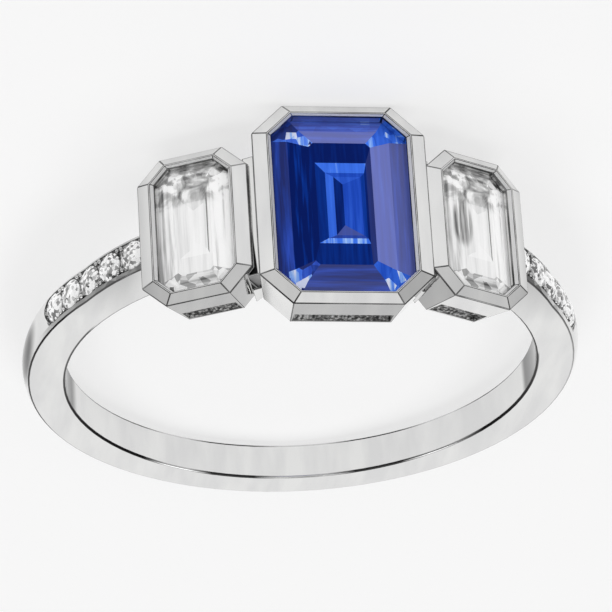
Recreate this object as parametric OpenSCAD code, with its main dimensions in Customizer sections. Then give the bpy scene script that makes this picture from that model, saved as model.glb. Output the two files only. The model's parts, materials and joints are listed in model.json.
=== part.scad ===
// Three stone ring: a step cut stone between two smaller ones in bevelled
// bezels, and a row of small round stones on each shoulder.
// The ring is drawn with the finger along Y and the stones towards +Z,
// then laid on its side, where it rests on the long middle bezel's edge and
// on the back of the hoop. Lengths are in millimetres.

/* [Hoop] */
// Radius of the finger hole
finger_r = 8.5; // [7:0.1:11]
// Width of the hoop, along the finger
hoop_w = 1.36; // [1.2:0.02:2.4]
// Thickness of the hoop's edges at the back, under the finger
back_t = 1.22; // [0.9:0.02:2]
// Thickness of the hoop's edges at its two sides
side_t = 1.34; // [1.1:0.02:2.2]
// Rise of the rounded outside above the hoop's edges
dome_h = 0.2; // [0.1:0.01:0.3]
// Radius of the shoulders' arc, past the finger hole's
shoulder_t = 0.67; // [0.55:0.01:0.8]
// How far the shoulders' arc is centred towards the stones
shoulder_shift = 1.5; // [1.3:0.05:1.8]
// Metal left between the finger hole and the stones
floor_t = 0.4; // [0.35:0.05:0.8]

/* [Middle stone] */
// Length of the middle stone, along the finger
mid_l = 7; // [6:0.1:8]
// Width of the middle stone
mid_w = 5; // [4:0.1:6]
// Width of the middle stone's cut corners
mid_cut = 0.85; // [0.5:0.05:1.2]
// Height of the middle bezel's rim above the finger hole
mid_rim_h = 3.2; // [3:0.05:4]
// Height of the middle bezel's base above the finger hole
mid_base_h = 0.88; // [0.5:0.02:1]

/* [Side stones] */
// Length of a side stone, along the finger
side_l = 5; // [4:0.1:6]
// Width of a side stone
side_w = 3; // [2.4:0.1:4]
// Width of a side stone's cut corners
side_cut = 0.6; // [0.4:0.05:0.9]
// Height of a side bezel's rim above the finger hole
side_rim_h = 2.69; // [2.5:0.05:3.4]
// Height of a side bezel's base above the finger hole
side_base_h = 0.52; // [0.5:0.02:0.8]

/* [Bezels] */
// Bezel wall beside a stone's long edges
wall_side = 0.53; // [0.4:0.01:0.7]
// Bezel wall beside a stone's short edges
wall_end = 0.37; // [0.3:0.01:0.6]
// Width of the outer bevel along the long edges
bevel_side = 0.5; // [0.3:0.01:0.6]
// Width of the outer bevel along the short edges
bevel_end = 0.35; // [0.2:0.01:0.45]
// Height of the outer bevel
bevel_h = 0.22; // [0.1:0.01:0.4]
// Width of the flat that is left on the rim
rim_land = 0.05; // [0.03:0.01:0.1]
// How far the inner bevel slopes in over a stone's long edges
lip_side = 0.13; // [0.08:0.01:0.2]
// How far the inner bevel slopes in over a stone's short edges
lip_end = 0.06; // [0.03:0.01:0.15]
// Height of the inner bevel
lip_h = 0.15; // [0.1:0.01:0.25]
// Slope of the bezel walls, in degrees from upright
wall_slope = 11; // [4:1:16]
// Gap between the middle bezel's edge and a side bezel's, across the ring
bezel_gap = 0.1; // [0.06:0.01:0.4]
// Thickness of the walls under the seats
basket_t = 0.38; // [0.3:0.01:0.5]
// Depth of the groove between two bezels, below the side bezel's edge
bridge_drop = 0.15; // [0.1:0.05:0.6]
// How far the bridge under that groove reaches past the bezels' straight sides
bridge_reach = 0.3; // [0.05:0.05:0.4]
// Height of the foot that joins two bezels at their bases
foot_h = 0.5; // [0.3:0.05:0.8]
// How far the foot reaches past the bezels' straight sides
foot_reach = 0.35; // [0.1:0.05:0.5]

/* [Windows] */
// Height of the window in each bezel's end wall
window_h = 0.7; // [0.2:0.05:0.9]
// Height of the rail under the window
rail_h = 0.12; // [0.08:0.01:0.3]
// Metal left between a window and its wall's corners
window_edge = 0.06; // [0.02:0.02:0.3]

/* [Cut of the long stones] */
// Depth of the table below the bezel's rim
table_drop = 0.16; // [0.1:0.02:0.5]
// Height of the crown, as a share of the stone's width
crown_share = 0.095; // [0.08:0.005:0.15]
// Thickness of the girdle
girdle_t = 0.08; // [0.04:0.01:0.15]
// Gap between a stone and its seat
seat_gap = 0.02; // [0.01:0.01:0.06]
// Gap under a stone's keel
keel_gap = 0.08; // [0.06:0.02:0.3]

/* [Round stones] */
// Diameter of a small round stone
round_d = 1.05; // [0.8:0.01:1.1]
// Number of round stones on a shoulder
round_n = 5; // [3:1:6]
// Distance between round stones, centre to centre
round_pitch = 1.2; // [1.16:0.01:1.4]
// Metal between the side bezel and the first round stone
round_start = 0.34; // [0.3:0.02:0.8]
// Depth of the trough that the round stones sit in
trough_depth = 0.18; // [0.1:0.01:0.25]
// Width of the thin rail on each side of the trough
trough_rail = 0.15; // [0.1:0.01:0.3]

/* [Hidden] */
$fn = 128;
ROUNDS = [for (i = [1:round_n]) str(i)];

metal = "#d9dadc";
blue = "#1b3fae";
clear = "#eef1f4";

// Extra depth that a cut reaches past the face it opens
over = 0.3;
// Height of the gap between a stone's crown and the lip over it
lip_gap = 2 * seat_gap;
// Smallest cut that a stone's corner keeps, down to its keel
corner_min = 0.01;

// Hoop: its outside is an arc of its own at the back and another one at the
// shoulders, which meet part way up each side
back_r = finger_r + back_t;
side_r = finger_r + side_t;
side_shift = side_t - back_t;
shoulder_r = finger_r + shoulder_t;
floor_r = finger_r + floor_t;

// The outside is an arc across the hoop too, which meets its flat sides at an angle
dome_r = (pow(hoop_w / 2, 2) + pow(dome_h, 2)) / (2 * dome_h);
dome_a = asin(hoop_w / 2 / dome_r);

// Sections of the step cut, from the girdle to the table and to the keel.
// Columns: how far the sides have closed in, as a share of half the width,
// and how far up or down the section lies, as a share of the crown or pavilion
CROWN = [[0, 0], [0.29, 0.64], [0.57, 1]];
PAVILION = [[0, 0], [0.28, 0.326], [0.67, 0.712], [0.985, 1]];
// How much the ends close in for each millimetre that the sides do
crown_end = 0.79;
pavilion_end = 1.08;

// A long octagon is [half width, half length, corner cut]
function octagon(o) = [
    [o[0], o[1] - o[2]], [o[0] - o[2], o[1]], [o[2] - o[0], o[1]], [-o[0], o[1] - o[2]],
    [-o[0], o[2] - o[1]], [o[2] - o[0], -o[1]], [o[0] - o[2], -o[1]], [o[0], o[2] - o[1]]
];

// The same octagon with its walls moved in, or out for a negative distance
corner_share = 1 - sqrt(0.5);
function inset(o, side, end) =
    [o[0] - side, o[1] - end, o[2] - corner_share * (side + end)];

function between(a, b, t) = a + (b - a) * t;

// What a bezel is made from: its stone's girdle, its own edge, and the radii of
// its rim, crown, girdle and base, which functions below give their names
function bezel(l, w, cut, rim_h, base_h) = let (
    stone = [w / 2, l / 2, cut],
    edge = inset(stone, -wall_side, -wall_end),
    rim_r = finger_r + rim_h,
    crown_h = crown_share * w,
    girdle_r = rim_r - table_drop - crown_h
) [stone, edge, rim_r, crown_h, girdle_r, finger_r + base_h];

MIDDLE = bezel(mid_l, mid_w, mid_cut, mid_rim_h, mid_base_h);
SIDE = bezel(side_l, side_w, side_cut, side_rim_h, side_base_h);

function stone_of(b) = b[0];
function edge_of(b) = b[1];
function rim_of(b) = b[2];
function crown_of(b) = b[3];
function girdle_of(b) = b[4];
function base_of(b) = b[5];
function edge_r(b) = rim_of(b) - bevel_h;

// Outside of a bezel's wall at a height r, under its bevelled edge
function wall_at(b, r) = let (d = tan(wall_slope) * (edge_r(b) - r)) inset(edge_of(b), d, d);

// Side bezels lean out so that their edges clear the middle one by a set gap
side_reach = edge_of(MIDDLE)[0] + bezel_gap;
side_edge_r = edge_r(SIDE);
side_half_w = edge_of(SIDE)[0];
side_straight = edge_of(SIDE)[1] - edge_of(SIDE)[2];
lean = asin(side_reach / norm([side_edge_r, side_half_w])) + atan(side_half_w / side_edge_r);

// Distance from the ring's centre to the ridge of the hoop's outside, at an
// angle from the stones, and the lean of the outside there
function arc_at(r, shift, a) =
    shift * cos(a) + sqrt(pow(r + dome_h, 2) - pow(shift * sin(a), 2));
function on_shoulder(a) = arc_at(shoulder_r, shoulder_shift, a) > arc_at(side_r, side_shift, a);
function outside_at(a) =
    max(arc_at(shoulder_r, shoulder_shift, a), arc_at(side_r, side_shift, a));
function outside_lean(a) = let (shift = on_shoulder(a) ? shoulder_shift : side_shift)
    atan2(outside_at(a) * sin(a), outside_at(a) * cos(a) - shift);

// Turn from one main facet of a round stone to the next, and the slopes of its
// facets, in degrees from the girdle
round_turn = 360 / 8;
round_crown_a = 34;
round_star_a = 22;
round_half_a = 39;
round_pavilion_a = 40;
round_lower_a = 41.5;
round_table_r = 0.29 * round_d;
round_crown_h = (round_d / 2 - round_table_r) * tan(round_crown_a);
round_girdle_t = 0.04 * round_d;

// Places of the round stones, as angles from the middle stone
side_wall_a = lean + atan(side_half_w / side_edge_r);
row_r = outside_at(side_wall_a);
first_a = side_wall_a + (round_start + round_d / 2) / row_r * 180 / PI;
step_a = round_pitch / row_r * 180 / PI;
last_a = first_a + (round_n - 1) * step_a;

// How the ring lies: its side rests on the middle bezel's edge and on the
// hoop's back, unless long side stones stand out more
function rest_angle(half_l, height) = atan((half_l - hoop_w / 2) / (height + back_r));
side_corner_z = side_edge_r * cos(lean)
    + (side_half_w - edge_of(SIDE)[2]) * sin(lean);
rest_a = max(rest_angle(edge_of(MIDDLE)[1], edge_r(MIDDLE)),
    rest_angle(edge_of(SIDE)[1], side_corner_z));
rest_lift = back_r * sin(rest_a) + hoop_w / 2 * cos(rest_a);
rim_half_l = edge_of(MIDDLE)[1] - bevel_end;
rest_front = rim_of(MIDDLE) * cos(rest_a) + rim_half_l * sin(rest_a);
rest_back = rest_a < dome_a
    ? (back_r + dome_h - dome_r) * cos(rest_a) + dome_r
    : back_r * cos(rest_a) + hoop_w / 2 * sin(rest_a);

module laid_down() {
    translate([0, (rest_front - rest_back) / 2, rest_lift])
        rotate([-rest_a, 0, 0])
            rotate([90, 180, 0])
                children();
}

// Turns a piece from straight above the finger hole to an angle beside it
module leaned(a) {
    rotate([0, a, 0]) children();
}

// A solid through octagons: steps are [octagon, height], lowest first
module loft(steps) {
    n = len(steps);
    points = [for (s = steps) for (p = octagon(s[0])) [p[0], p[1], s[1]]];
    sides = [for (k = [0:n - 2]) for (i = [0:7]) let (j = (i + 1) % 8)
        [8 * k + i, 8 * k + 8 + i, 8 * k + 8 + j, 8 * k + j]];
    bottom = [for (i = [0:7]) i];
    top = [for (i = [7:-1:0]) 8 * (n - 1) + i];
    polyhedron(points, concat([bottom], sides, [top]));
}

// Section of a step cut stone whose sides have closed in by a share
function cut_section(stone, share, end) = let (d = share * stone[0])
    [stone[0] - d, stone[1] - end * d, max(corner_min, stone[2] * pow(1 - share, 2))];

module step_cut_stone(b) {
    stone = stone_of(b);
    depth = girdle_of(b) - girdle_t - floor_r - keel_gap;
    pavilion = [for (i = [len(PAVILION) - 1:-1:0]) let (s = PAVILION[i])
        [cut_section(stone, s[0], pavilion_end), girdle_of(b) - girdle_t - s[1] * depth]];
    crown = [for (s = CROWN)
        [cut_section(stone, s[0], crown_end), girdle_of(b) + s[1] * crown_of(b)]];
    loft(concat(pavilion, crown));
}

module bezel_wall(b) {
    rim = inset(edge_of(b), bevel_side, bevel_end);
    loft([[wall_at(b, base_of(b)), base_of(b)], [edge_of(b), edge_r(b)], [rim, rim_of(b)]]);
}

// The hollow in a bezel: inner bevel, lip over the crown, seat and basket
module bezel_hollow(b) {
    stone = stone_of(b);
    mouth = inset(edge_of(b), bevel_side + rim_land, bevel_end + rim_land);
    lip_edge = inset(mouth, lip_side, lip_end);
    crown_slope = CROWN[1][1] * crown_of(b) / (CROWN[1][0] * stone[0]);
    lip_r = girdle_of(b) + (stone[0] - lip_edge[0]) * crown_slope + lip_gap;
    above = 1 + over / lip_h;
    bevel_r = rim_of(b) - lip_h;
    seat = inset(stone, -seat_gap, -seat_gap);
    ledge_r = girdle_of(b) - girdle_t - basket_t / 2;
    loft([
        [inset(wall_at(b, floor_r), basket_t, basket_t), floor_r],
        [inset(wall_at(b, ledge_r), basket_t, basket_t), ledge_r],
        [seat, girdle_of(b) - girdle_t - seat_gap],
        [seat, girdle_of(b) + seat_gap],
        [lip_edge, lip_r],
        [lip_edge, bevel_r],
        [between(lip_edge, mouth, above), between(bevel_r, rim_of(b), above)]
    ]);
}

// A window through both end walls, above the rail at the bezel's base
module bezel_windows(b) {
    low = base_of(b) + rail_h;
    foot = wall_at(b, low);
    half = foot[0] - foot[2] - window_edge;
    translate([-half, -foot[1] - over, low])
        cube([2 * half, 2 * (foot[1] + over), window_h]);
}

// Metal that joins a side bezel to the middle one, from their bases up to a
// radius, over half a length of the gap between them
module bridge(top, half) {
    sink = basket_t / 2;
    low = base_of(SIDE);
    function mid_point(r) = [wall_at(MIDDLE, r)[0] - sink, r];
    function side_point(r) = let (u = sink - wall_at(SIDE, r)[0])
        [r * sin(lean) + u * cos(lean), r * cos(lean) - u * sin(lean)];
    translate([0, half, 0])
        rotate([90, 0, 0])
            linear_extrude(2 * half)
                polygon([mid_point(base_of(MIDDLE)), mid_point(top), side_point(top), side_point(low)]);
}

// A round blank with a domed rim, which the finger hole turns into a hoop
module domed_disc(r, shift) {
    translate([0, 0, shift])
        rotate([90, 0, 0])
            rotate_extrude() {
                translate([0, -hoop_w / 2]) square([r, hoop_w]);
                intersection() {
                    translate([0, -hoop_w / 2]) square([r + dome_h, hoop_w]);
                    translate([r + dome_h - dome_r, 0]) circle(dome_r);
                }
            }
}

// Places children on the ridge of the right shoulder, Z pointing outwards
module on_outside(a) {
    translate([outside_at(a) * sin(a), 0, outside_at(a) * cos(a)])
        rotate([0, outside_lean(a), 0])
            children();
}

// Long trough in a shoulder's outside, from under the side bezel to a round end
module trough() {
    half = hoop_w / 2 - trough_rail;
    far = 2 * side_r;
    low = dome_h - trough_depth;
    translate([0, half, 0])
        rotate([90, 0, 0])
            linear_extrude(2 * half)
                difference() {
                    polygon([[0, 0], far * [sin(lean), cos(lean)],
                        far * [sin(last_a), cos(last_a)]]);
                    translate([0, side_shift]) circle(side_r + low);
                    translate([0, shoulder_shift]) circle(shoulder_r + low);
                }
    on_outside(last_a)
        translate([0, 0, -trough_depth])
            cylinder(h = trough_depth + over, r = half);
}

// Drilled seat of one round stone
module round_seat() {
    r = round_d / 2 + seat_gap;
    girdle = -round_crown_h - round_girdle_t;
    keel = girdle - r * tan(round_pavilion_a) - keel_gap / 2;
    rotate_extrude()
        polygon([[0, keel], [keel_gap / 2, keel], [r, girdle], [r, over], [0, over]]);
}

module shoulder_cuts() {
    trough();
    for (i = [0:round_n - 1]) on_outside(first_a + i * step_a) round_seat();
}

module hoop_blank() {
    difference() {
        union() {
            domed_disc(side_r, side_shift);
            domed_disc(shoulder_r, shoulder_shift);
        }
        shoulder_cuts();
        mirror([1, 0, 0]) shoulder_cuts();
    }
}

module bezel_walls() {
    bezel_wall(MIDDLE);
    for (side = [-1, 1]) {
        leaned(side * lean) bezel_wall(SIDE);
        scale([side, 1, 1]) {
            bridge(side_edge_r - bridge_drop, side_straight + bridge_reach);
            bridge(base_of(MIDDLE) + foot_h, side_straight + foot_reach);
        }
    }
}

// Hoop and bezels are soldered into one piece of metal
module setting() {
    color(metal) laid_down() difference() {
        union() {
            hoop_blank();
            bezel_walls();
        }
        bezel_hollow(MIDDLE);
        bezel_windows(MIDDLE);
        for (side = [-1, 1]) {
            leaned(side * lean) {
                bezel_hollow(SIDE);
                bezel_windows(SIDE);
            }
        }
        rotate([90, 0, 0]) cylinder(h = 4 * hoop_w + mid_l, r = finger_r, center = true);
    }
}

module middle_stone() {
    color(blue) laid_down() step_cut_stone(MIDDLE);
}

module side_stone(side) {
    color(clear) laid_down() leaned(side * lean) step_cut_stone(SIDE);
}

// A pyramid whose eight sides are one tier of facets. They pass at a distance
// from the axis at its zero height, and the pyramid reaches well below that
module tier(slope, distance, turn) {
    foot = distance + round_d;
    rotate([0, 0, turn])
        translate([0, 0, -round_d * tan(slope)])
            cylinder(h = foot * tan(slope), r1 = foot / cos(round_turn / 2), r2 = 0, $fn = 8);
}

// Main facets, and the halves of each pair of facets between two of them
module main_and_halves(main_a, half_a) {
    intersection() {
        tier(main_a, round_d / 2, 0);
        tier(half_a, round_d / 2, round_turn / 4);
        tier(half_a, round_d / 2, -round_turn / 4);
    }
}

// A round brilliant with its table level with the hoop's ridge
module round_brilliant() {
    depth = round_d / 2 * tan(round_lower_a);
    translate([0, 0, -round_crown_h]) intersection() {
        translate([0, 0, -depth]) cylinder(h = depth + round_crown_h, r = round_d / 2);
        main_and_halves(round_crown_a, round_half_a);
        translate([0, 0, round_crown_h]) tier(round_star_a, round_table_r, round_turn / 2);
        translate([0, 0, -round_girdle_t]) mirror([0, 0, 1])
            main_and_halves(round_pavilion_a, round_lower_a);
    }
}

module round_stone(i, side) {
    color(clear) laid_down() scale([side, 1, 1])
        on_outside(first_a + (i - 1) * step_a) round_brilliant();
}

setting();
middle_stone();
side_stone(-1);  // left_stone
side_stone(1);  // right_stone
for (i = [1:round_n]) {
    round_stone(i, -1);
    round_stone(i, 1);
}
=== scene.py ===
"""Looks of a three stone ring that lies on its side: polished white gold, a blue
stone between two white ones, and small round stones on the shoulders."""

import json
import math

import bmesh
import bpy
from mathutils import Matrix, Vector
from mathutils.kdtree import KDTree


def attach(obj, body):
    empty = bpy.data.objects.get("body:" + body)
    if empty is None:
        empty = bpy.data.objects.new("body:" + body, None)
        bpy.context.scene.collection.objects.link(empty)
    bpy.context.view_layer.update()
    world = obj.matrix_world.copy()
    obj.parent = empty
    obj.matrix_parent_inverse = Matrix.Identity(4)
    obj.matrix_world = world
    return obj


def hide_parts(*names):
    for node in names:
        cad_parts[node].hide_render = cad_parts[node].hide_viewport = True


# A millimetre in metres, and an eighth of a turn in radians
MM = 0.001
EIGHTH = math.pi / 4

# Photo camera, in the ring's own frame: X across the row of stones, Y along the
# finger, Z from the finger hole towards the stones. Its place is in millimetres, and
# the distances at which it clips are in metres
CAMERA_PLACE = (-27.7, -90.55, 175.42)
CAMERA_FORWARD = (0.13994, 0.46247, -0.87552)
CAMERA_UP = (-0.00983, 0.88483, 0.46581)
PHOTO_SIZE = 612
FOCAL_PX = 5520.0
SENSOR_MM = 36.0
CLIP_NEAR, CLIP_FAR = 0.01, 10.0

# Points this near are joined to one, and so are faces that meet at less than this
# angle. A point this near to a wall lies on it
SAME_POINT = 0.0005 * MM
FLAT_ANGLE = math.radians(0.3)
ON_WALL = 0.01 * MM

# Largest width of the rounding on the metal's edges and on those of the finger hole,
# its largest share of the way to the next edge, how closely that way is measured, the
# least angle of an edge, and the flat steps of a rounding
EDGE_ROUND = 0.045 * MM
HOLE_ROUND = 0.08 * MM
ROUND_SHARE = 0.3
MEASURE_STEP = 0.06 * MM
EDGE_ANGLE = math.radians(14)
ROUND_STEPS = 3

# Material slots of the setting after the polished metal's own
RIDGES, SHADED_CAST, SATIN, GROOVES = 1, 2, 3, 4

# The finger hole as seen from above: its middle along Y, the radius of its wall, and
# where outside the wall the wall's own shading ends
HOLE_MIDDLE, HOLE_WALL = 1.135 * MM, 8.56 * MM
HOLE_WALL_END = HOLE_WALL + 0.04 * MM

# Where dark reflections painted on the polished metal turn it darker, by places between which it
# does so: the finger hole's wall at both sides and at the camera's left, which is +X, the hoop's
# flanks at both sides, and its outer edge at the left
SIDE_WEDGES = (8.36 * MM, 8.44 * MM)
LEFT_WEDGE = (7.75 * MM, 8.05 * MM)
FLANKS = (6.2 * MM, 7.2 * MM)
LEFT_EDGE = (9.75 * MM, 9.95 * MM)

# Painted reflections along the finger hole's ridge, light and dark tones by how far a point lies
# to either side of the ridge's own middle, as a share of the wall's radius. The outer ridge's
# painted reflection turns dark between two places at the left, and the two ridges part between
# two radii
RIDGE_MIDDLE = -1.19 * MM
HOLE_RIDGE = [(0.1, "#d0d0d0"), (0.22, "#303030"), (0.41, "#303030"), (0.52, "#d0d0d0"),
              (0.62, "#d0d0d0"), (0.72, "#282828"), (1.0, "#383838")]
LEFT_RIDGE = (8.3 * MM, 9.0 * MM)
RIDGES_PART = (HOLE_WALL + 0.1 * MM, HOLE_WALL + 0.3 * MM)

# The polishing lines, how many in a metre along X, Y and Z, and how rough the metal is
POLISH_LINES = (1300.0, 260.0, 300.0)
POLISHED = (0.04, 0.1)

# How fine the random patterns are: in a metre on the metal and the floor, and in a
# millimetre in the clear stones. A pattern mostly keeps to middle values, so those
# between two of these are spread over the whole range
SWIRLS, RIDGE_PATCHES, CAST_GRAIN, FLOOR_GRAIN, STONE_MOTTLES = 900.0, 700.0, 9000.0, 300.0, 1.6
SPREAD, STREAK_SPREAD = (0.38, 0.62), (0.3, 0.7)

# The cups end and the plain hoop starts at these places along Y
CUPS_END, HOOP_START = -6 * MM, -3 * MM

# The trough in the shoulders lies between these angles from the middle stone, this far
# to either side of the hoop's middle line and above this radius
TROUGH_START, TROUGH_END = math.radians(37.8), math.radians(71.2)
TROUGH_HALF, TROUGH_FLOOR = 0.535 * MM, 8.7 * MM

# The joins between the cups: their angles, the place of their ends along the finger,
# and for their tops how near to the middle line, below which radius and how far up
JOIN_START, JOIN_END, JOIN_HALF = math.radians(14), math.radians(20), 2.31 * MM
JOIN_MIDDLE, JOIN_TOP, JOIN_FACING = 0.05 * MM, 11.15 * MM, 0.7

# The painted shadow on top of a join, a dark wedge: how much it widens along the join, and where
# it starts and is full
GROOVE_WIDENS = 0.0667
GROOVE = (3.33 * MM, 3.36 * MM)

# Windows in the cups' end walls, in each cup's own frame in millimetres: angle of the cup, lower
# edge, height, half length, place of the wall at the lower edge and its slope. A dark sheet of
# cast metal shows a little way inside each, painted shade in place of the seat's wall
WINDOWS = [(0.0, 9.5, 0.7, 1.697, 3.485, 0.194), (26.7776, 9.14, 0.7, 0.959, 2.514, 0.194),
           (-26.7776, 9.14, 0.7, 0.959, 2.514, 0.194)]
SEAT_DEPTH, SEAT_THICK, SEAT_HELD = 0.2, 0.1, 0.03

# The bevel inside each cup's lip: angle of the cup and height of the bevel's middle in
# millimetres, how near a face's middle is to that height, and between which two values
# its normal's share towards the stone's top lies
LIP_BEVELS = [(0.0, 11.625), (26.7776, 11.125), (-26.7776, 11.125)]
LIP_NEAR = 0.02
LIP_LOW, LIP_HIGH = 0.3, 0.7

# A step cut stone's facets by how far they look up from the stone: the crown lies
# between the two, above them is the table and below them the underside. The table is
# found as the largest octagon that looks up from the ring by more than the third. The
# ends are the sides 2 and 6, counted from 0 at +X towards +Y
CROWN_LOW, CROWN_HIGH, TABLE_UP = 0.05, 0.999, 0.5
ENDS = (2, 6)

# The painted reflection of a step cut stone's lower steps on its table: rings round the keel,
# each from -X to +X and from -Y to +Y as shares of the table's half sizes
RINGS = [(-0.83, 0.82, -0.653, 0.67), (-0.517, 0.75, -0.57, 0.506), (-0.257, 0.62, -0.52, 0.44)]
KEEL_X, KEEL_LOW, KEEL_HIGH = 0.029, -0.354, 0.316

# Painted light of the facets of the blue stone and of the clear ones: tone from 0, darkest, to
# 1, brightest, and share of painted sheen. The crown's eight sides run from +X towards +Y, an
# inner and an outer facet each. The table's rings of painted reflection run from its edge
# inwards, each with its sides towards +X, +Y, -X and -Y
BLUE_CROWN = [
    ((0.45, 0.8), (0.25, 0.55)), ((0.8, 0.0), (0.8, 0.0)),
    ((0.3, 0.75), (0.5, 0.35)), ((0.45, 0.1), (0.5, 0.1)),
    ((0.0, 0.0), (0.15, 0.1)), ((0.55, 0.1), (0.6, 0.1)),
    ((0.2, 0.22), (0.2, 0.33)), ((0.75, 0.0), (0.75, 0.0)),
]
BLUE_TABLE = [
    ((0.0, 0.1), (0.0, 0.0), (0.0, 0.0), (0.12, 0.0)),
    ((0.05, 0.0), (0.8, 0.0), (0.16, 0.0), (0.87, 0.0)),
    ((0.3, 0.0), (0.5, 0.0), (0.7, 0.0), (0.3, 0.1)),
    ((0.5, 0.0), (0.6, 0.0), (0.06, 0.0), (0.2, 0.3)),
]
CLEAR_CROWN = [
    ((0.95, 0.0), (0.9, 0.0)), ((0.7, 0.0), (0.5, 0.0)),
    ((0.6, 0.0), (0.7, 0.0)), ((0.6, 0.0), (0.5, 0.0)),
    ((0.8, 0.0), (0.65, 0.0)), ((0.6, 0.0), (0.5, 0.0)),
    ((0.7, 0.0), (0.6, 0.0)), ((0.7, 0.0), (0.55, 0.0)),
]
CLEAR_TABLE = [
    ((0.75, 0.0), (0.55, 0.0), (0.7, 0.0), (0.75, 0.0)),
    ((0.1, 0.0), (0.6, 0.0), (0.7, 0.0), (0.85, 0.0)),
    ((0.7, 0.0), (0.7, 0.0), (0.75, 0.0), (0.85, 0.0)),
    ((0.8, 0.0), (0.7, 0.0), (0.85, 0.0), (0.85, 0.0)),
]

# Painted tone of the lower facets towards the sides, the ends and the corners
UNDERSIDE = (0.3, 0.55, 0.75)

# How far painted streaks of reflection change the tone, and how many run in a millimetre across
# and along
SIDE_STREAKS, CORNER_STREAKS, TABLE_STREAKS = 0.36, 0.12, 0.1
STREAKS_ACROSS, STREAKS_ALONG = 6.0, 0.35

# How far each of the crown's eight sides breaks up into painted glints, and the glints in a
# millimetre
BLUE_BROKEN = (0.0, 0.15, 0.1, 0.52, 0.0, 0.7, 0.0, 0.33)
CLEAR_BROKEN = (0.0, 0.3, 0.15, 0.3, 0.0, 0.5, 0.4, 0.5)
BLUE_GLINTS, CLEAR_GLINTS = 2.6, 4.0

# Shades of the painted light of the blue stone and of the colourless ones, by tone, and the blue
# one's painted sheen
SAPPHIRE_SHADES = [(0, "#02175c"), (0.25, "#053290"), (0.5, "#1f4bc0"), (0.85, "#4078f2"),
                   (0.94, "#98c2ff"), (1, "#e4eaff")]
SAPPHIRE_SHEEN = "#7c84c6"
CLEAR_SHADES = [(0, "#505050"), (0.5, "#bcbcbc"), (0.75, "#eeeeee"), (1, "#ffffff")]
BRILLIANT_SHADES = [(0, "#101010"), (0.25, "#909090"), (0.5, "#f0f0f0"), (1, "#ffffff")]

# The clear stones get painted mottled reflections more and more between these places towards +Y,
# by this much at most. The right one has a painted dark patch of streaked reflection, at this
# place and of this size, all in the stone's own millimetres. It fades between these shares of
# its size
MOTTLED, MOTTLE = (0.7, 1.2), 0.5
PATCH_PLACE, PATCH_SIZE, PATCH_DARK = (-0.62, 0.1, 0.0), (0.42, 1.0, 3.0), 0.9
PATCH_FADES = (0.6, 1.1)

# Share of a stone's colour that it gives off as painted glow, for the light that comes back from
# inside, and how many painted flashes a round stone shows in a metre
STONE_GLOW = 0.22
BRILLIANT_FLASHES = 9000.0

# Beads that hold the round stones: their radius and how it varies, how far the two
# rows lie from the stones' line, half the distance of two beads in a row at a gap, and
# how far above the middles of the stones their centres lie
BEAD_R = 0.08 * MM
BEAD_LEAST, BEAD_MOST = 0.9, 1.08
BEAD_ROW = 0.42 * MM
BEAD_SPREAD = 0.1 * MM
BEAD_LIFT = 0.08 * MM
BEAD_SEED = 7
BEAD_SIZES = [("Bead Radius", BEAD_R), ("Row", BEAD_ROW), ("Spread", BEAD_SPREAD)]

# The floor: half its width in metres, how rough it is, how much it glows, and between which
# distances from the ring painted shade turns it a little darker
FLOOR_HALF = 1.0
FLOOR_ROUGH = (0.9, 1.0)
FLOOR_GLOW = 0.605
FLOOR_DARKENS = (30 * MM, 70 * MM)

# Studio: how bright it is all round, and the patches that are lighter. A patch has a
# compass bearing from +Y to +X, a height, an inner and an outer half width, all in
# degrees, and how much light it adds
ROOM_LIGHT = 0.25
PATCHES = [
    (-8, 14, 16, 30, 0.7),
    (180, 44, 12, 24, 0.2),
    (58, 5, 10, 20, 0.25),
    (180, 12, 34, 60, 0.45),
    (-118, 26, 10, 20, 0.45),
    (122, 36, 10, 20, 0.3),
    (28, 14, 8, 16, 0.45),
    (88, 4, 8, 16, 0.4),
    (60, 66, 14, 22, 2.4),
    (-62, 66, 14, 22, 2.4),
]


def linear(hex_colour):
    """An sRGB hex colour as linear red, green, blue and alpha."""
    parts = [int(hex_colour[i : i + 2], 16) / 255 for i in (1, 3, 5)]
    return [c / 12.92 if c <= 0.04045 else ((c + 0.055) / 1.055) ** 2.4 for c in parts] + [1.0]


def add_node(tree, kind, settings=None, **inputs):
    """Adds a node. A value sets an input; a socket is linked to it."""
    node = tree.nodes.new(kind)
    for name, value in (settings or {}).items():
        setattr(node, name, value)
    for name, value in inputs.items():
        key = int(name[1:]) if name[0] == "_" else name.replace("_", " ")
        if isinstance(value, bpy.types.NodeSocket):
            tree.links.new(value, node.inputs[key])
        else:
            node.inputs[key].default_value = value
    return node


def maths(tree, operation, *values, clamp=False):
    settings = {"operation": operation, "use_clamp": clamp}
    inputs = {f"_{index}": value for index, value in enumerate(values)}
    return add_node(tree, "ShaderNodeMath", settings, **inputs).outputs[0]


def vector_maths(tree, operation, *values):
    inputs = {f"_{index}": value for index, value in enumerate(values)}
    node = add_node(tree, "ShaderNodeVectorMath", {"operation": operation}, **inputs)
    return node.outputs["Value" if operation in ("LENGTH", "DOT_PRODUCT") else "Vector"]


def mapped(tree, value, start, end, first=0.0, last=1.0, soft=False):
    """A value that goes from first to last while the given one goes from start to end."""
    settings = {"interpolation_type": "SMOOTHSTEP" if soft else "LINEAR"}
    return add_node(tree, "ShaderNodeMapRange", settings, Value=value, From_Min=start,
                    From_Max=end, To_Min=first, To_Max=last).outputs[0]


def split(tree, vector):
    return add_node(tree, "ShaderNodeSeparateXYZ", _0=vector).outputs


def blend(tree, share, one, two):
    """A colour that goes from one to two with the share."""
    return add_node(tree, "ShaderNodeMix", {"data_type": "RGBA"}, _0=share, _6=one,
                    _7=two).outputs[2]


def noise(tree, place, scale, **more):
    return add_node(tree, "ShaderNodeTexNoise", Vector=place, Scale=scale, **more).outputs[0]


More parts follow.
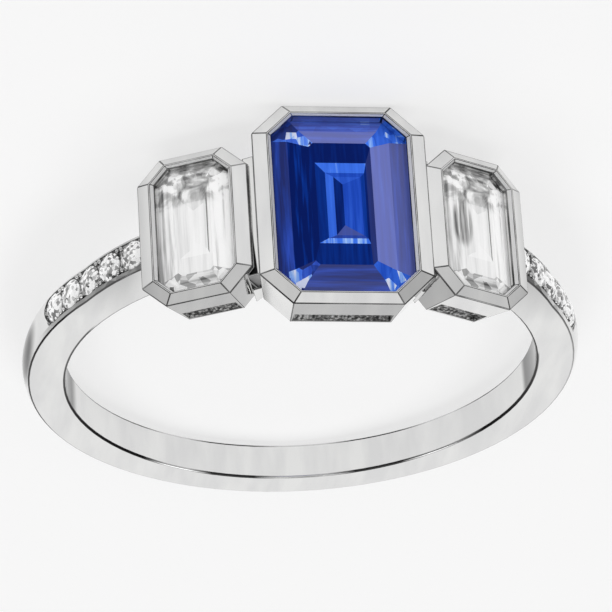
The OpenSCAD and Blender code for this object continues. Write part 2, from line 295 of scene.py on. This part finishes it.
def cells(tree, place, scale):
    """A tone of its own for each cell of a random pattern."""
    cell = add_node(tree, "ShaderNodeTexVoronoi", Vector=place, Scale=scale)
    return add_node(tree, "ShaderNodeSeparateColor", _0=cell.outputs["Color"]).outputs[0]


def shades(tree, tone, stops):
    """The colour of a tone: each stop has a tone and its colour."""
    ramp = add_node(tree, "ShaderNodeValToRGB", Fac=tone)
    colours = ramp.color_ramp.elements
    for place, colour in stops[1:-1]:
        colours.new(place).color = linear(colour)
    for element, (place, colour) in ((colours[0], stops[0]), (colours[-1], stops[-1])):
        element.position, element.color = place, linear(colour)
    return ramp.outputs["Color"]


def object_place(tree):
    return add_node(tree, "ShaderNodeTexCoord").outputs["Object"]


def hoop_place(tree, place):
    """How far a point lies to either side, and how far from the finger hole's middle."""
    place = vector_maths(tree, "SUBTRACT", place, (0.0, HOLE_MIDDLE, 0.0))
    flat = vector_maths(tree, "MULTIPLY", place, (1.0, 1.0, 0.0))
    across = maths(tree, "ABSOLUTE", split(tree, flat)[0])
    return across, vector_maths(tree, "LENGTH", flat)


def new_material(name):
    material = bpy.data.materials.new(name)
    material.use_nodes = True
    material.node_tree.nodes.clear()
    return material, material.node_tree


def use_surface(tree, shader, volume=None):
    output = add_node(tree, "ShaderNodeOutputMaterial", Surface=shader.outputs[0])
    if volume:
        tree.links.new(volume.outputs[0], output.inputs["Volume"])


# Rhodium plated white gold, mirror polished: bright neutral reflections with a faint unevenness,
# the finest of polishing lines, and painted dark reflections in the finger hole, on the hoop's
# flanks and at its left edge
def white_gold():
    material, tree = new_material("rhodium_plated_white_gold")
    place = object_place(tree)
    swirl = noise(tree, place, SWIRLS, Detail=2.0)
    rough = mapped(tree, swirl, 0.0, 1.0, *POLISHED)
    bump = add_node(tree, "ShaderNodeBump", Height=swirl, Strength=0.04, Distance=0.02 * MM)
    lines = noise(tree, vector_maths(tree, "MULTIPLY", place, POLISH_LINES), 1.0, Detail=3.0)
    colour = shades(tree, lines, [(0.35, "#dcdcdc"), (0.65, "#e7e7e6")])
    x, y, _ = split(tree, place)
    across, radius = hoop_place(tree, place)
    in_hole = mapped(tree, radius, HOLE_WALL, HOLE_WALL_END, 1.0, 0.0)
    at_cups = mapped(tree, y, CUPS_END, HOOP_START, 1.0, 0.0)
    # Painted dark reflections, each fading in between two places
    for value, (start, end), where, tone in (
        (across, SIDE_WEDGES, in_hole, "#727272"),
        (x, LEFT_WEDGE, in_hole, "#4c4c4c"),
        (across, FLANKS, at_cups, "#bdbdbd"),
        (x, LEFT_EDGE, 1.0, "#4a4a4a"),
    ):
        share = maths(tree, "MULTIPLY", mapped(tree, value, start, end, soft=True), where)
        colour = blend(tree, share, colour, linear(tone))
    use_surface(tree, add_node(tree, "ShaderNodeBsdfPrincipled", Metallic=1.0,
                               Base_Color=colour, Roughness=rough, Normal=bump.outputs[0]))
    return material


# The same gold along its ridges, with a painted reflection of the dark parts of the room in a
# fine line
def ridge_gold():
    material, tree = new_material("rhodium_plated_white_gold_ridges")
    place = object_place(tree)
    x, y, _ = split(tree, place)
    patchy = noise(tree, place, RIDGE_PATCHES)
    dark = shades(tree, patchy, [(0.35, "#444444"), (0.65, "#989898")])
    aside = maths(tree, "ABSOLUTE", maths(tree, "SUBTRACT", x, RIDGE_MIDDLE))
    inner = shades(tree, mapped(tree, aside, 0.0, HOLE_WALL), HOLE_RIDGE)
    outer = shades(tree, mapped(tree, x, *LEFT_RIDGE), [(0, "#b4b4b4"), (1, "#3c3c3c")])
    _, radius = hoop_place(tree, place)
    ridge = blend(tree, mapped(tree, radius, *RIDGES_PART), inner, outer)
    colour = blend(tree, mapped(tree, y, CUPS_END, HOOP_START), dark, ridge)
    use_surface(tree, add_node(tree, "ShaderNodeBsdfPrincipled", Metallic=1.0,
                               Base_Color=colour, Roughness=0.15))
    return material


# The same gold on top of the joins between the cups: bright, with a narrow black wedge of
# painted shadow where the side cup shades it
def groove_gold():
    material, tree = new_material("rhodium_plated_white_gold_grooves")
    x, _, z = split(tree, object_place(tree))
    reach = maths(tree, "MULTIPLY_ADD", z, GROOVE_WIDENS, maths(tree, "ABSOLUTE", x))
    colour = shades(tree, mapped(tree, reach, *GROOVE), [(0, "#e2e2e1"), (1, "#141414")])
    use_surface(tree, add_node(tree, "ShaderNodeBsdfPrincipled", Metallic=1.0,
                               Base_Color=colour, Roughness=0.1))
    return material


# The bevel cut inside the lips, left satin by the setting tool: a soft pale line
def satin_gold():
    material, tree = new_material("satin_white_gold")
    use_surface(tree, add_node(tree, "ShaderNodeBsdfPrincipled", Metallic=0.3,
                               Base_Color=linear("#e6e6e6"), Roughness=0.45))
    return material


# White gold as it was cast, in the trough and inside the windows: unpolished and speckled, with
# its dull dark grey as painted shade of the recesses
def shaded_cast_gold():
    material, tree = new_material("unpolished_cast_white_gold_painted_shade")
    grain = noise(tree, object_place(tree), CAST_GRAIN, Detail=3.0)
    tone = mapped(tree, grain, *SPREAD)
    colour = shades(tree, tone, [(0, "#303030"), (0.5, "#7c7c7c"), (1, "#e0e0e0")])
    bump = add_node(tree, "ShaderNodeBump", Height=grain, Strength=0.6, Distance=0.03 * MM)
    use_surface(tree, add_node(tree, "ShaderNodeBsdfPrincipled", Metallic=0.6,
                               Base_Color=colour, Roughness=0.45, Normal=bump.outputs[0]))
    return material


def facet_look(tree, glints):
    """The painted light of each facet, from what the mesh holds: tone, sheen and whether it has
    the dark patch; streaks, whether they run sideways, and glints; and each point's place in the
    stone in millimetres. Painted streaks of reflection run along the stone, as its lower steps
    mirror one another, and corners break up into small painted glints."""
    place, look, play = (
        add_node(tree, "ShaderNodeAttribute", {"attribute_name": name}).outputs["Vector"]
        for name in ("stone_place", "look", "play"))
    tone, sheen, patched = split(tree, look)
    streaked, at_end, broken = split(tree, play)
    lengthways = vector_maths(tree, "MULTIPLY", place, (STREAKS_ACROSS, STREAKS_ALONG, 1.0))
    sideways = vector_maths(tree, "MULTIPLY", place, (STREAKS_ALONG, STREAKS_ACROSS, 1.0))
    drawn = add_node(tree, "ShaderNodeMix", {"data_type": "VECTOR"}, _0=at_end,
                     _4=lengthways, _5=sideways).outputs[1]
    streak = mapped(tree, noise(tree, drawn, 1.0, Detail=3.0), *STREAK_SPREAD, -1.0, 1.0)
    glint = mapped(tree, cells(tree, place, glints), 0.0, 1.0, -1.0, 1.0)
    tone = maths(tree, "ADD", tone, maths(tree, "MULTIPLY", streak, streaked))
    tone = maths(tree, "ADD", tone, maths(tree, "MULTIPLY", glint, broken), clamp=True)
    return place, tone, sheen, patched, streak


def use_stone(tree, colour, depth=None, **optics):
    """Polished facets that glow with a part of their colour, painted light for what comes back
    from inside.
    """
    stone = add_node(tree, "ShaderNodeBsdfPrincipled", Base_Color=colour, Roughness=0.0,
                     Emission_Color=colour, Emission_Strength=STONE_GLOW, **optics)
    use_surface(tree, stone, depth)


# Natural blue corundum, cut and polished: deep royal blue, painted navy where its steps would
# look into the dark, with a painted lilac sheen on the crown
def sapphire():
    material, tree = new_material("polished_blue_sapphire")
    _, tone, sheen, _, _ = facet_look(tree, BLUE_GLINTS)
    colour = blend(tree, sheen, shades(tree, tone, SAPPHIRE_SHADES), linear(SAPPHIRE_SHEEN))
    depth = add_node(tree, "ShaderNodeVolumeAbsorption", Color=linear("#27b4f4"),
                     Density=1900.0)
    use_stone(tree, colour, depth, IOR=1.77, Transmission_Weight=0.08,
              Specular_IOR_Level=0.07, Specular_Tint=linear("#6080ff"))
    return material


# Colourless step cut stones: clear and pale, with painted soft grey reflections of the steps,
# painted mottled reflections at one end, and a painted dark patch in the right one
def clear_stone():
    material, tree = new_material("colourless_step_cut_stone")
    place, tone, _, patched, streak = facet_look(tree, CLEAR_GLINTS)
    mottled_end = mapped(tree, split(tree, place)[1], *MOTTLED, soft=True)
    mottle = noise(tree, place, STONE_MOTTLES, Detail=4.0, Distortion=0.8)
    mottle = mapped(tree, mottle, *SPREAD, -MOTTLE, MOTTLE / 2)
    tone = maths(tree, "ADD", tone, maths(tree, "MULTIPLY", mottle, mottled_end))
    reach = vector_maths(tree, "SUBTRACT", place, PATCH_PLACE)
    reach = vector_maths(tree, "LENGTH", vector_maths(tree, "DIVIDE", reach, PATCH_SIZE))
    in_patch = mapped(tree, reach, *PATCH_FADES, 1.0, 0.0, soft=True)
    dark = maths(tree, "MULTIPLY", mapped(tree, streak, -1.0, 1.0, -PATCH_DARK, 0.0), patched)
    tone = maths(tree, "ADD", tone, maths(tree, "MULTIPLY", dark, in_patch), clamp=True)
    use_stone(tree, shades(tree, tone, CLEAR_SHADES), IOR=1.9, Transmission_Weight=0.06)
    return material


# Colourless round brilliants: tiny facets with painted flashes of white, grey and black
def brilliant():
    material, tree = new_material("colourless_round_brilliant")
    flash = cells(tree, object_place(tree), BRILLIANT_FLASHES)
    use_stone(tree, shades(tree, flash, BRILLIANT_SHADES), IOR=2.2, Transmission_Weight=0.06)
    return material


def ring_frame(record):
    """The ring's own frame, from the finger hole's mount: the axis leaves the hole on
    the upper side, and the stones point to -Y."""
    mount = next(m for m in record["mounts"] if m["name"] == "finger_bore")
    finger = -Vector(mount["axis"]).normalized()
    across = Vector((-1, 0, 0))
    stones = across.cross(finger)
    place = Matrix((across, finger, stones)).transposed().to_4x4()
    place.translation = Vector(mount["pos_m"])
    return place


def photo_camera(ring):
    """Camera at the photograph's angle to the ring, above the floor."""
    turn = ring.to_3x3()
    back = -(turn @ Vector(CAMERA_FORWARD)).normalized()
    side = (turn @ Vector(CAMERA_UP)).cross(back).normalized()
    up = back.cross(side)
    data = bpy.data.cameras.new("photo_camera")
    data.sensor_width = SENSOR_MM
    data.lens = FOCAL_PX / PHOTO_SIZE * SENSOR_MM
    data.clip_start = CLIP_NEAR
    data.clip_end = CLIP_FAR
    camera = bpy.data.objects.new("photo_camera", data)
    camera.matrix_world = Matrix((side, up, back)).transposed().to_4x4()
    camera.location = ring @ (Vector(CAMERA_PLACE) * MM)
    bpy.context.scene.collection.objects.link(camera)
    bpy.context.scene.camera = camera


def joined_shape(node):
    """The node's mesh with its points joined and its flat parts in one face each."""
    shape = bmesh.new()
    shape.from_mesh(node.data)
    bmesh.ops.remove_doubles(shape, verts=shape.verts, dist=SAME_POINT)
    bmesh.ops.dissolve_limit(shape, angle_limit=FLAT_ANGLE, verts=shape.verts, edges=shape.edges)
    return shape


def new_mesh(name, shape):
    mesh = bpy.data.meshes.new(name)
    shape.to_mesh(mesh)
    shape.free()
    return mesh


def add_object(name, mesh, material):
    # Clearing sends every face to the first slot, so a new mesh is left as it is
    if mesh.materials:
        mesh.materials.clear()
    mesh.materials.append(material)
    piece = bpy.data.objects.new(name, mesh)
    bpy.context.scene.collection.objects.link(piece)
    return piece


def show_steps(shape, table, looks, patched, look, play, to_stone):
    """Splits a table into rings that carry the painted reflection of its lower steps, all in one
    plane.
    """
    places = {vert: to_stone @ vert.co for vert in table.verts}
    half_x, half_y = max(p.x for p in places.values()), max(p.y for p in places.values())
    from_stone = to_stone.inverted()
    height = places[table.verts[0]].z
    verts = sorted(table.verts, key=lambda v: math.atan2(places[v].y, places[v].x) % math.tau)

    def new_vert(x, y):
        return shape.verts.new(from_stone @ Vector((x * half_x, y * half_y, height)))

    def new_face(corners, tone_sheen):
        face = shape.faces.new(corners)
        face[look] = (*tone_sheen, patched)
        face[play] = (TABLE_STREAKS, 0, 0)
        face.normal_update()
        if (to_stone.to_3x3() @ face.normal).z < 0:
            face.normal_flip()

    rings = [[new_vert(x1, y0), new_vert(x1, y1), new_vert(x0, y1), new_vert(x0, y0)]
             for x0, x1, y0, y1 in RINGS]
    keel = [new_vert(KEEL_X, KEEL_HIGH), new_vert(KEEL_X, KEEL_LOW)]
    shape.faces.remove(table)
    # The octagon's corners, anticlockwise from the one that starts the +X side
    outer = [verts[7]] + verts[:7]
    for side in range(4):
        after = (side + 1) % 4
        inner, following = rings[0][side], rings[0][after]
        start, end, corner = (outer[(2 * side + k) % 8] for k in range(3))
        new_face([start, end, following, inner], looks[0][side])
        new_face([end, corner, following], looks[0][after])
        for k in (1, 2):
            wide, narrow = rings[k - 1], rings[k]
            new_face([wide[side], wide[after], narrow[after], narrow[side]], looks[k][side])
    last = rings[2]
    new_face([last[0], last[1], keel[0], keel[1]], looks[3][0])
    new_face([last[1], last[2], keel[0]], looks[3][1])
    new_face([last[2], last[3], keel[1], keel[0]], looks[3][2])
    new_face([last[3], last[0], keel[1]], looks[3][3])


def side_of(facing):
    """The side of the octagon that a facet belongs to, from +X towards +Y."""
    return round(math.atan2(facing.y, facing.x) / EIGHTH) % 8


def cut_stone(node, ring, material, crown, steps, broken, patched):
    """A long stone with painted light for each facet and a painted reflection of its steps on
    the table.
    """
    shape = joined_shape(node)
    look = shape.faces.layers.float_vector.new("look")
    play = shape.faces.layers.float_vector.new("play")
    shape.normal_update()
    up_in_ring = ring.inverted().to_3x3()
    octagons = [f for f in shape.faces
                if len(f.verts) == 8 and (up_in_ring @ f.normal).z > TABLE_UP]
    table = max(octagons, key=lambda f: f.calc_area())
    up = up_in_ring @ table.normal
    across = Vector((0, 1, 0)).cross(up).normalized()
    turn = Matrix((across, up.cross(across), up)).to_4x4()
    middle = ring.inverted() @ table.calc_center_median()
    to_stone = turn @ Matrix.Translation(-middle) @ ring.inverted()
    facings = {face: to_stone.to_3x3() @ face.normal for face in shape.faces}
    for face, facing in facings.items():
        side = side_of(facing)
        if not CROWN_LOW < facing.z < CROWN_HIGH:
            kind = 2 if side % 2 else side in ENDS
            face[look] = (UNDERSIDE[kind] * (1 + facing.z / 2), 0, 0)
            face[play] = (TABLE_STREAKS, side in ENDS, 0)
            continue
        same = [f.z for f in facings.values()
                if CROWN_LOW < f.z < CROWN_HIGH and side_of(f) == side]
        outer = facing.z < (min(same) + max(same)) / 2
        face[look] = (*crown[side][outer], patched)
        streaks = CORNER_STREAKS if side % 2 else SIDE_STREAKS
        face[play] = (streaks, side in ENDS, broken[side])
    show_steps(shape, table, steps, patched, look, play, to_stone)
    place = shape.verts.layers.float_vector.new("stone_place")
    for vert in shape.verts:
        vert[place] = to_stone @ vert.co / MM
    name = "cut_" + node.name
    return add_object(name, new_mesh(name, shape), material)


def round_edges(shape, to_ring, hole_r):
    """Marks each sharp edge with the width of its rounding: wider round the finger
    hole, narrower where another edge is near."""
    weight = shape.edges.layers.float.new("bevel_weight_edge")
    sharp = [e for e in shape.edges
             if len(e.link_faces) == 2 and e.calc_face_angle(0) > EDGE_ANGLE]
    samples = []
    for edge in sharp:
        steps = max(2, math.ceil(edge.calc_length() / MEASURE_STEP))
        one, two = (v.co for v in edge.verts)
        samples += [(one.lerp(two, (k + 0.5) / steps), edge) for k in range(steps)]
    tree = KDTree(len(samples))
    for index, (place, _) in enumerate(samples):
        tree.insert(place, index)
    tree.balance()
    room = {}
    for edge in sharp:
        places = [to_ring @ v.co for v in edge.verts]
        at_hole = all(abs(math.hypot(p.x, p.z) - hole_r) < ON_WALL for p in places)
        room[edge] = (HOLE_ROUND if at_hole else EDGE_ROUND) / ROUND_SHARE
    for place, edge in samples:
        for _, index, distance in tree.find_range(place, room[edge]):
            other = samples[index][1]
            if other is not edge and not set(edge.verts) & set(other.verts):
                room[edge] = min(room[edge], distance)
    for edge in sharp:
        edge[weight] = room[edge] * ROUND_SHARE / HOLE_ROUND


def paint_recess_shade(shape, to_ring):
    """Gives the trough under the round stones the unpolished metal with painted shade, paints
    shade on the ends of the joins between the cups with the ridges' dark tones, and gives their
    tops a painted shadow."""
    for face in shape.faces:
        place = to_ring @ face.calc_center_median()
        facing = (to_ring.to_3x3() @ face.normal).z
        angle = abs(math.atan2(place.x, place.z))
        aside, radius = abs(place.y), math.hypot(place.x, place.z)
        if JOIN_START < angle < JOIN_END:
            # The ends of the joins take the ridges' dark tones as painted shade
            if abs(aside - JOIN_HALF) < ON_WALL:
                face.material_index = RIDGES
            if aside < JOIN_MIDDLE and facing > JOIN_FACING and radius < JOIN_TOP:
                face.material_index = GROOVES
        if TROUGH_START < angle < TROUGH_END and aside < TROUGH_HALF and radius > TROUGH_FLOOR:
            face.material_index = SHADED_CAST


def finish_lips(shape, ring):
    """Gives the bevel inside each cup's lip the satin finish."""
    for angle, height in LIP_BEVELS:
        to_cup = (ring @ Matrix.Rotation(math.radians(angle), 4, "Y")).inverted()
        for face in shape.faces:
            off = (to_cup @ face.calc_center_median()).z - height * MM
            facing = (to_cup.to_3x3() @ face.normal).z
            if abs(off) < LIP_NEAR * MM and LIP_LOW < facing < LIP_HIGH:
                face.material_index = SATIN


def polished_setting(node, ring, hole_r, materials):
    """The metal with its edges softened as polishing leaves them."""
    shape = joined_shape(node)
    round_edges(shape, ring.inverted(), hole_r)
    paint_recess_shade(shape, ring.inverted())
    finish_lips(shape, ring)
    mesh = new_mesh("polished_setting", shape)
    piece = add_object("polished_setting", mesh, materials[0])
    for material in materials[1:]:
        mesh.materials.append(material)
    bevel = piece.modifiers.new("edges", "BEVEL")
    bevel.width = HOLE_ROUND
    bevel.segments = ROUND_STEPS
    bevel.limit_method = "WEIGHT"
    # The rounded edges take the ridges' painted dark reflection
    bevel.material = RIDGES
    bevel.use_clamp_overlap = False
    bevel.harden_normals = True
    mesh.shade_smooth()
    mesh.set_sharp_from_angle(angle=EDGE_ANGLE)
    return piece


def shaded_window_backs(ring, material):
    """Dark sheets of cast metal, seen through the windows of the three cups: painted shade in
    place of the seats' walls.
    """
    shape = bmesh.new()
    for angle, low, height, half, wall, slope in WINDOWS:
        turn = ring @ Matrix.Rotation(math.radians(angle), 4, "Y")
        for end in (-1, 1):
            corners = []
            for z in (low - SEAT_HELD, low + height + SEAT_HELD):
                front = wall + slope * (z - low) - SEAT_DEPTH
                for y in (front, front - SEAT_THICK):
                    for x in (-half - SEAT_HELD, half + SEAT_HELD):
                        corners.append(shape.verts.new(turn @ (Vector((x, end * y, z)) * MM)))
            for face in ((0, 1, 5, 4), (2, 6, 7, 3), (0, 4, 6, 2), (1, 3, 7, 5), (4, 5, 7, 6),
                         (0, 2, 3, 1)):
                shape.faces.new([corners[i] for i in face])
    bmesh.ops.recalc_face_normals(shape, faces=shape.faces)
    return add_object("shaded_window_backs", new_mesh("shaded_window_backs", shape), material)


def bead_tree(material):
    """Four beads round each point, two on either side of the stones' line."""
    tree = bpy.data.node_groups.new("shoulder_beads", "GeometryNodeTree")
    sockets = tree.interface
    sockets.new_socket("Geometry", in_out="INPUT", socket_type="NodeSocketGeometry")
    for name, value in BEAD_SIZES:
        socket = sockets.new_socket(name, in_out="INPUT", socket_type="NodeSocketFloat")
        socket.default_value = value
    sockets.new_socket("Seed", in_out="INPUT", socket_type="NodeSocketInt")
    sockets.new_socket("Geometry", in_out="OUTPUT", socket_type="NodeSocketGeometry")
    given = add_node(tree, "NodeGroupInput").outputs
    four = add_node(tree, "GeometryNodeMeshGrid", Vertices_X=2, Vertices_Y=2,
                    Size_X=maths(tree, "MULTIPLY", given["Spread"], 2.0),
                    Size_Y=maths(tree, "MULTIPLY", given["Row"], 2.0))
    bead = add_node(tree, "GeometryNodeMeshIcoSphere", Radius=given["Bead Radius"],
                    Subdivisions=3)
    turn = add_node(tree, "GeometryNodeInputNamedAttribute", {"data_type": "FLOAT_VECTOR"},
                    Name="turn")
    gaps = add_node(tree, "GeometryNodeInstanceOnPoints", Points=given["Geometry"],
                    Instance=four.outputs[0], Rotation=turn.outputs[0])
    places = add_node(tree, "GeometryNodeRealizeInstances", Geometry=gaps.outputs[0])
    size = add_node(tree, "FunctionNodeRandomValue", _2=BEAD_LEAST, _3=BEAD_MOST,
                    Seed=given["Seed"])
    beads = add_node(tree, "GeometryNodeInstanceOnPoints", Points=places.outputs[0],
                     Instance=bead.outputs[0], Scale=size.outputs[1])
    solid = add_node(tree, "GeometryNodeRealizeInstances", Geometry=beads.outputs[0])
    smooth = add_node(tree, "GeometryNodeSetShadeSmooth", Geometry=solid.outputs[0])
    dressed = add_node(tree, "GeometryNodeSetMaterial", Geometry=smooth.outputs[0],
                       Material=material)
    add_node(tree, "NodeGroupOutput", Geometry=dressed.outputs[0])
    return tree


def shoulder_beads(nodes, ring, material):
    """Beads between the round stones of both shoulders."""
    inverse = ring.inverted()
    places, turns = [], []
    for side in ("left", "right"):
        row = sorted(name for name in nodes if name.startswith(side + "_round"))
        middles = []
        for name in row:
            node = nodes[name]
            corners = [inverse @ node.matrix_world @ Vector(c) for c in node.bound_box]
            middles.append(sum(corners, Vector()) / len(corners))
        for one, two in zip(middles, middles[1:]):
            along = (two - one).normalized()
            across = Vector((0, 1, 0))
            out = along.cross(across)
            if out.dot(one) < 0:
                across, out = -across, -out
            turn = ring.to_3x3() @ Matrix((along, across, out)).transposed()
            places.append(ring @ ((one + two) / 2 + BEAD_LIFT * out))
            turns.append(turn.to_euler())
    mesh = bpy.data.meshes.new("bead_places")
    mesh.from_pydata(places, [], [])
    turn = mesh.attributes.new("turn", "FLOAT_VECTOR", "POINT")
    for value, euler in zip(turn.data, turns):
        value.vector = euler
    draft = bpy.data.objects.new("bead_places", mesh)
    bpy.context.scene.collection.objects.link(draft)
    tree = bead_tree(material)
    modifier = draft.modifiers.new("beads", "NODES")
    modifier.node_group = tree
    sockets = {s.name: s.identifier for s in tree.interface.items_tree if s.in_out == "INPUT"}
    for name, value in BEAD_SIZES + [("Seed", BEAD_SEED)]:
        modifier[sockets[name]] = value
    bpy.context.view_layer.update()
    graph = bpy.context.evaluated_depsgraph_get()
    made = bpy.data.meshes.new_from_object(draft.evaluated_get(graph), depsgraph=graph)
    bpy.data.objects.remove(draft)
    return add_object("shoulder_beads", made, material)


# Matt white board with a faint grain: pale grey, with painted shade that makes it a little
# darker away from the ring
def floor_board():
    material, tree = new_material("pale_matt_floor")
    place = object_place(tree)
    rough = mapped(tree, noise(tree, place, FLOOR_GRAIN), 0.0, 1.0, *FLOOR_ROUGH)
    away = mapped(tree, vector_maths(tree, "LENGTH", place), *FLOOR_DARKENS, soft=True)
    colour = shades(tree, away, [(0, "#a4a4a4"), (1, "#898989")])
    glow = shades(tree, away, [(0, "#ffffff"), (1, "#cbcbcb")])
    use_surface(tree, add_node(tree, "ShaderNodeBsdfPrincipled", Base_Color=colour,
                               Roughness=rough, Emission_Color=glow,
                               Emission_Strength=FLOOR_GLOW))
    return material


def floor():
    half = FLOOR_HALF
    mesh = bpy.data.meshes.new("floor")
    corners = [(-half, -half, 0), (half, -half, 0), (half, half, 0), (-half, half, 0)]
    mesh.from_pydata(corners, [], [(0, 1, 2, 3)])
    material = floor_board()
    add_object("floor", mesh, material)


def studio():
    """Even dim light all round, weaker patches low down, and strong ones high up on
    both sides."""
    world = bpy.data.worlds.new("studio")
    world.use_nodes = True
    world.node_tree.nodes.clear()
    tree = world.node_tree
    look = add_node(tree, "ShaderNodeTexCoord").outputs["Generated"]
    room = add_node(tree, "ShaderNodeValue")
    room.outputs[0].default_value = ROOM_LIGHT
    light = room.outputs[0]
    for bearing, rise, inner, outer, adds in PATCHES:
        b, r = math.radians(bearing), math.radians(rise)
        towards = (math.sin(b) * math.cos(r), math.cos(b) * math.cos(r), math.sin(r))
        near = vector_maths(tree, "DOT_PRODUCT", look, towards)
        start, end = math.cos(math.radians(outer)), math.cos(math.radians(inner))
        patch = mapped(tree, near, start, end, 0.0, adds, soft=True)
        light = maths(tree, "ADD", light, patch)
    sky = add_node(tree, "ShaderNodeBackground", Color=light, Strength=1.0)
    add_node(tree, "ShaderNodeOutputWorld", Surface=sky.outputs[0])
    bpy.context.scene.world = world
    bpy.context.scene.view_settings.view_transform = "Standard"


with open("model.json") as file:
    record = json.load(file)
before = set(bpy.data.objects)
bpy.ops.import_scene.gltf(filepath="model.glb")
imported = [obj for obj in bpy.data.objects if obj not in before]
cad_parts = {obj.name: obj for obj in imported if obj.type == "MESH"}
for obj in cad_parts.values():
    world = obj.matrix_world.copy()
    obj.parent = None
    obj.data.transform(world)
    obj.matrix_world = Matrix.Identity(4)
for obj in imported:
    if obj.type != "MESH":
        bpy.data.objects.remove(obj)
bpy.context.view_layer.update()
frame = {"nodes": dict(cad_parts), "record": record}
ring = ring_frame(frame["record"])
photo_camera(ring)
studio()
floor()

metal = white_gold()
nodes = frame["nodes"]
blue, clear, small = sapphire(), clear_stone(), brilliant()
for name, node in nodes.items():
    if name in ("middle_stone", "left_stone", "right_stone"):
        if name == "middle_stone":
            stone = cut_stone(node, ring, blue, BLUE_CROWN, BLUE_TABLE, BLUE_BROKEN, 0)
        else:
            stone = cut_stone(node, ring, clear, CLEAR_CROWN, CLEAR_TABLE, CLEAR_BROKEN,
                              name == "right_stone")
        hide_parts(name)
        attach(stone, "root")
    elif name != "setting":
        node.data.materials.clear()
        node.data.materials.append(small)
shaded_cast = shaded_cast_gold()
hole_r = frame["record"]["mounts"][0]["dims"]["r_mm"] * MM
finishes = (metal, ridge_gold(), shaded_cast, satin_gold(), groove_gold())
setting = polished_setting(nodes["setting"], ring, hole_r, finishes)
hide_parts("setting")
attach(setting, "root")
window_backs = shaded_window_backs(ring, shaded_cast)
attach(window_backs, "root")
beads = shoulder_beads(nodes, ring, metal)
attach(beads, "root")
